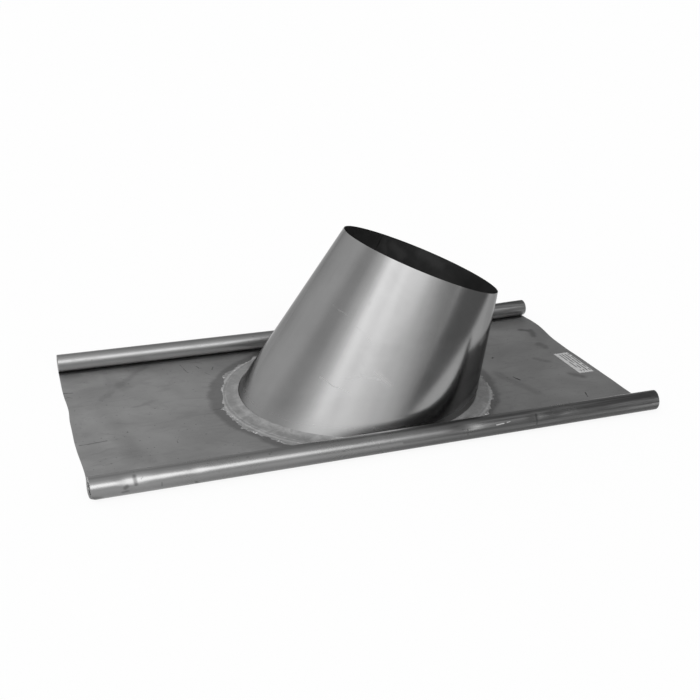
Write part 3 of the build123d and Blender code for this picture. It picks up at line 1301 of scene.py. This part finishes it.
@dataclass
class SolderSeam:
    """Wiped solder over the flange, with a fillet up the wall and a ragged fringe on the lead."""

    foot: FootEllipse = field(default_factory=FootEllipse)
    points: int = 720
    lead_top: float = LEAD_THICKNESS
    flange_edge: float = 20.5 * MM
    least_cover: float = 2.9 * MM
    least_film: float = 2.2 * MM
    sunk: float = 1.6 * MM
    ragged: float = 1.3 * MM
    bead: float = 9 * MM
    skin: float = 0.3 * MM
    film: float = 0.5 * MM
    lumpy: float = 0.35 * MM
    least_rise: float = 0.2 * MM
    profile: Levels = (
        (-0.0026, 0.0082), (-0.0005, 0.0066), (0.0018, 0.0050), (0.0042, 0.0040), (0.0070, 0.0034),
        (0.011, 0.0032), (0.015, 0.0032), (0.019, 0.0031), (0.0204, 0.0029), (0.0212, 0.0025),
        (0.022, 0.0023), (0.0228, 0.0023),
    )
    margins: Levels = (
        (-180, 29), (-178.8, 31), (-177.8, 38.5), (-176.6, 33), (-172, 32.5), (-166, 34), (-156, 37),
        (-150, 35), (-146, 32), (-141, 34.5), (-136, 36), (-120, 30), (-105, 26), (-90, 25), (-75, 26),
        (-60, 31), (-47, 34), (-39, 31.5), (-32, 28.7), (-24, 30.6), (-20, 29.6), (-14, 26), (-6, 24.6),
        (10, 27), (40, 30), (70, 27), (90, 25), (110, 26), (121, 27), (124.6, 33), (128, 26),
        (131, 26.5), (134.5, 29.5), (138.5, 32), (141, 31.5), (143, 34.5), (146, 37.5), (148, 36),
        (149.8, 37.5), (151.5, 33), (153.5, 29), (158, 26), (163.5, 27.5), (168.5, 24.5), (172, 25.5),
        (176, 29.5), (177.6, 27), (180, 29),
    )
    curls: tuple[Point, ...] = ((124.6, 1.6, 2.2), (147.4, 2.5, 1.3), (-166, 1.2, 1.0), (152, 1.0, 0.8))

    def build(self) -> bpy.types.Object:
        """Draws the profile out ring by ring round the foot and roughens it."""
        Bench.clear()
        bpy.ops.mesh.primitive_circle_add(vertices=self.points, radius=1)
        bench = Bench("solder_band")
        angles = [atan2(vertex.co.y, vertex.co.x) for vertex in bench.piece.data.vertices]
        margin, height = self.profile[0]
        bench.place(lambda index, _: self.foot.point(angles[index], margin, height))
        bench.edit("EDGE")
        bpy.ops.mesh.select_all(action="SELECT")
        rings = self.profile[1:]
        for number, (margin, height) in enumerate(rings):
            first = bench.extrude()
            self.lay(bench, first, angles, margin, height, number / len(rings))
        for share in (0.35, 0.7, 0.9, 1.0):
            first = bench.extrude()
            self.fringe(bench, first, angles, share)
        first = bench.extrude()
        self.drop(bench, first, angles)
        bench.align(lambda _: Vector((0, 0, 1)))
        bench.smooth(60)
        self.dress(bench.piece)
        return bench.piece

    def lay(
        self, bench: Bench, first: int, angles: list[float], margin: float, height: float, share: float
    ) -> None:
        """Places one ring over the flange.

        Args:
            bench: The mesh in work.
            first: The index of the ring's first vertex.
            angles: The angle of each vertex of a ring.
            margin: How far outside the foot the ring lies.
            height: Its height over the floor.
            share: How far out in the profile it comes.
        """
        for index, angle in enumerate(angles):
            at = self.foot.point(angle, margin, height)
            lump = noise.fractal(at * 60, 0.7, 2.0, 4) * self.skin * smooth_step(0.1, 0.4, share)
            at.z = max(at.z + lump, self.least_cover if margin < self.flange_edge else self.least_film)
            bench.piece.data.vertices[first + index].co = at

    def reach(self, angle: float) -> float:
        """How far the solder ran out over the lead at an angle round the foot."""
        out = Vector((cos(angle), sin(angle), 0))
        ragged = (noise.fractal(out * 14, 0.5, 2.2, 5) + noise.noise(out * 75)) * self.ragged
        beads = max(0.0, noise.noise(out * 26 + Vector((2, 5, 1))) - 0.12) * self.bead
        return between(self.margins, degrees(angle)) * MM + ragged + beads

    def fringe(self, bench: Bench, first: int, angles: list[float], share: float) -> None:
        """Places a ring of the thin fringe."""
        start = self.profile[-1][0]
        for index, angle in enumerate(angles):
            margin = start + (self.reach(angle) - start) * share
            lumps = 0.6 + noise.noise(Vector((cos(angle), sin(angle), share)) * 90)
            curl = max(
                height * exp(-(((degrees(angle) - at) / width) ** 2)) for at, width, height in self.curls
            )
            rise = self.film * (1 - share) ** 0.5 + self.lumpy * lumps + curl * MM * share
            at = self.foot.point(angle, margin, self.lead_top + max(self.least_rise, rise))
            bench.piece.data.vertices[first + index].co = at

    def drop(self, bench: Bench, first: int, angles: list[float]) -> None:
        """Takes the fringe's edge down into the lead."""
        for index, angle in enumerate(angles):
            at = self.foot.point(angle, self.reach(angle) + 0.3 * MM, self.sunk)
            bench.piece.data.vertices[first + index].co = at

    def dress(self, piece: bpy.types.Object) -> None:
        """Gives the piece its finish and its place in the frame."""
        piece.data.materials.append(WipedSolder().make())
        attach(piece, "root")
        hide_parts("solder_seam")


@dataclass
class Label:
    """A small label of thin film stuck on the lead."""

    relief: LeadRelief = field(default_factory=LeadRelief)
    width: float = 32 * MM
    length: float = 96 * MM
    thickness: float = 0.2 * MM
    centre: Place = (0.471, -0.018)

    def build(self) -> bpy.types.Object:
        """Cuts the label and lays it on the lead."""
        Bench.clear()
        bpy.ops.mesh.primitive_grid_add(x_subdivisions=12, y_subdivisions=32, size=1)
        bpy.ops.transform.resize(value=(self.width, self.length, 1))
        bpy.ops.object.transform_apply(location=True, rotation=True, scale=True)
        bench = Bench("label_sheet")
        bench.place(lambda _, at: self.laid(at))
        bench.thicken(self.thickness * 0.8)
        bench.smooth(30)
        self.dress(bench.piece)
        return bench.piece

    def laid(self, at: Vector) -> Vector:
        """Where a point of the flat label lies on the sheet."""
        x, y = self.centre[0] + at.x, self.centre[1] + at.y
        return Vector((x, y, LEAD_THICKNESS + self.thickness + self.relief.rise(x, y)))

    def dress(self, piece: bpy.types.Object) -> None:
        """Gives the piece its finish and its place in the frame."""
        piece.data.materials.append(PrintedFilm().make())
        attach(piece, "root")
        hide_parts("label")


# Studio


@dataclass
class Studio:
    """Floor, soft light and camera."""

    place: Point = (-0.6084, -1.5646, 0.7912)
    azimuth: float = 21.2676
    elevation: float = 22.9314
    roll: float = 1.6029
    lens: float = 51.55
    frame_edge: float = 38.5
    frame_shift: float = 0.122
    walls: Levels = (
        (-180, 0.80), (-150, 0.75), (-110, 0.72), (-75, 0.60), (-60, 0.80), (-30, 0.84), (-10, 0.80),
        (6, 0.58), (22, 0.36), (38, 0.22), (60, 0.20), (100, 0.20), (125, 0.26), (140, 0.42),
        (150, 0.50), (160, 0.62), (170, 0.76), (180, 0.80),
    )
    key_bearing: Levels = (
        (-180, 0.60), (-165, 0.92), (-150, 1.15), (-144, 1.22), (-136, 1.02), (-128, 1.10),
        (-121, 1.20), (-114, 0.80), (-106, 0.36), (-98, 0.20), (-86, 0.0), (155, 0.0), (168, 0.20),
        (180, 0.55),
    )
    key_height: Levels = (
        (0, 0.50), (8, 0.58), (16, 0.68), (24, 1.0), (32, 1.34), (42, 1.5), (56, 1.3), (76, 0.6),
        (90, 0.4),
    )
    strip_bearing: Levels = (
        (-180, 1.0), (-172, 0.6), (-160, 0.0), (148, 0.0), (153, 0.15), (158, 0.9), (162, 1.25),
        (170, 1.1), (180, 1.0),
    )
    strip_height: Levels = ((17, 0.0), (24, 1.0), (31, 2.2), (38, 2.75), (50, 2.75), (57, 1.2), (64, 0.0))
    roof: Levels = ((52, 0.0), (66, 0.35), (90, 0.55))
    brightest: float = 5.0
    floor_radius: float = 40.0
    floor_level: float = 0.88
    floor_beyond: float = 0.2
    floor_fade: float = 0.12
    floor_end: Band = (6.0, 2.5)

    def build(self) -> None:
        """Sets up the whole studio."""
        self.floor()
        self.world()
        self.camera()
        bpy.context.scene.view_settings.view_transform = "Standard"

    def floor(self) -> None:
        """A wide pale floor, which metal mirrors greyer beyond the right edge of the picture."""
        Bench.clear()
        bpy.ops.mesh.primitive_circle_add(vertices=64, radius=self.floor_radius, fill_type="NGON")
        floor = bpy.context.object
        floor.name = "floor"
        tree = Finish("pale_floor")
        dark = self.beyond(tree)
        white = tree.nodes.new("ShaderNodeEmission")
        rays = tree.nodes.new("ShaderNodeLightPath")
        dark = tree.times(dark, tree.minus(1.0, rays.outputs["Is Camera Ray"]))
        seen = tree.math("MAXIMUM", rays.outputs["Is Glossy Ray"], rays.outputs["Is Transmission Ray"])
        seen = tree.math("MAXIMUM", seen, rays.outputs["Is Camera Ray"])
        share = tree.times(tree.times(seen, self.floor_level), tree.minus(1.0, dark))
        blend = tree.nodes.new("ShaderNodeMixShader")
        tree.link(share, blend.inputs[0])
        tree.link(tree.shader.outputs[0], blend.inputs[1])
        tree.link(white.outputs[0], blend.inputs[2])
        tree.link(blend.outputs[0], tree.nodes["Material Output"].inputs["Surface"])
        shade = tree.mix(dark, self.floor_level, self.floor_beyond)
        floor.data.materials.append(tree.finish(Base_Color=shade, Roughness=0.9, Specular_IOR_Level=0.0))

    def beyond(self, tree: Finish) -> Socket:
        """How far a place on the floor lies past the picture's right edge, from 0 to 1."""
        x, y, _ = tree.parts(tree.places)
        edge = radians(self.frame_edge)
        past_x = tree.times(tree.minus(x, self.place[0]), cos(edge))
        past_y = tree.times(tree.minus(y, self.place[1]), -sin(edge))
        past = tree.plus(past_x, past_y)
        past = tree.span(past, self.frame_shift, self.frame_shift + self.floor_fade)
        return tree.times(past, tree.span(x, *self.floor_end))

    def world(self) -> None:
        """Soft light all round, with a broad key behind the camera, and plain white for the camera."""
        world = bpy.data.worlds.new("studio")
        bpy.context.scene.world = world
        tree = Tree(world, Coordinates.WORLD)
        x, y, z = tree.parts(tree.places)
        round_share = tree.plus(tree.math("DIVIDE", tree.math("ARCTAN2", x, y), 2 * pi), 0.5)
        rise_share = tree.math("DIVIDE", tree.math("ARCSINE", z), pi / 2)
        level = self.read(tree, round_share, self.walls, 360, 180)
        lights = ((self.key_bearing, self.key_height), (self.strip_bearing, self.strip_height))
        for bearing, height in lights:
            across = self.read(tree, round_share, bearing, 360, 180)
            level = tree.plus(level, tree.times(across, self.read(tree, rise_share, height, 90, 0)))
        level = tree.plus(level, self.read(tree, rise_share, self.roof, 90, 0))
        seen = tree.nodes.new("ShaderNodeLightPath").outputs["Is Camera Ray"]
        level = tree.plus(tree.times(level, tree.minus(1.0, seen)), seen)
        tree.link(level, tree.nodes["Background"].inputs["Strength"])
        tree.nodes["Background"].inputs["Color"].default_value = (1, 1, 1, 1)

    def read(self, tree: Tree, share: Socket, table: Levels, whole: float, shift: float) -> Socket:
        """Reads a table of angle and level.

        Args:
            tree: The world in work.
            share: The angle as a share of the whole.
            table: Pairs of an angle in degrees and the level there.
            whole: The angle at which the share is 1.
            shift: The angle that is added before.

        Returns:
            The level.
        """
        stops = (((angle + shift) / whole, level / self.brightest) for angle, level in table)
        return tree.times(tree.ramp(share, *stops), self.brightest)

    def camera(self) -> None:
        """Puts the camera where the photographer's was."""
        azimuth, elevation, roll = radians(self.azimuth), radians(self.elevation), radians(self.roll)
        ahead = Vector((sin(azimuth) * cos(elevation), cos(azimuth) * cos(elevation), -sin(elevation)))
        right = ahead.cross(Vector((0, 0, 1))).normalized()
        up = right.cross(ahead)
        right, up = right * cos(roll) + up * sin(roll), up * cos(roll) - right * sin(roll)
        data = bpy.data.cameras.new("camera")
        data.lens = self.lens
        data.sensor_width = 36
        camera = bpy.data.objects.new("camera", data)
        bpy.context.scene.collection.objects.link(camera)
        turn = Matrix((right, up, -ahead)).transposed().to_4x4()
        camera.matrix_world = Matrix.Translation(self.place) @ turn
        bpy.context.scene.camera = camera


def main() -> None:
    """Builds every piece in order."""
    logging.basicConfig(level=logging.INFO, format="%(message)s")
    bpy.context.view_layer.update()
    Studio().build()
    for maker in (Cone(), LeadApron(), SolderSeam(), Label()):
        piece = maker.build()
        log.info("%s: %d faces", piece.name, len(piece.data.polygons))


if __name__ == "__main__":
    main()
